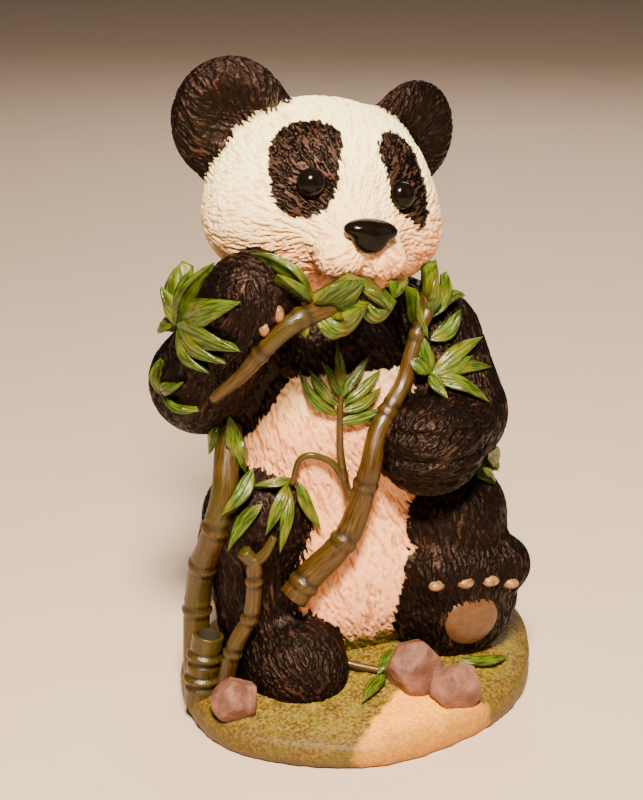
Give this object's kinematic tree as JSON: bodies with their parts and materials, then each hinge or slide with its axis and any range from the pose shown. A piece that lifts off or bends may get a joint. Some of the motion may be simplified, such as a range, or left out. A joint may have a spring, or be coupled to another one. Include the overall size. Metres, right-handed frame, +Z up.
{
  "type": "panda figurine",
  "caption": "Seated panda cast in painted resin, chewing a bamboo stick, with bamboo culms, leaves and stones on a mossy oval base.",
  "frame": {"origin": "centre of the flat underside of the base", "axes": "+Z up; the panda faces -Y, its own right side is at -X"},
  "size_m": [0.1265, 0.121, 0.1999],
  "materials": {
    "light_fur": "cream painted resin with carved fur and a warm wash in the grooves",
    "dark_fur": "satin black painted resin with carved fur, ridges dry-brushed brown",
    "gloss_black": "glossy black enamel of the nose and eyes",
    "claws": "tan painted claws and sole pad",
    "leaves": "satin leaf green with lighter edges and dark folds",
    "bamboo": "satin olive brown with darker nodes",
    "stones": "matte pinkish grey",
    "ground": "rough moss green with a sand-coloured path"
  },
  "bodies": {
    "root": {"panda_figurine": "light_fur"}
  },
  "joints": []
}
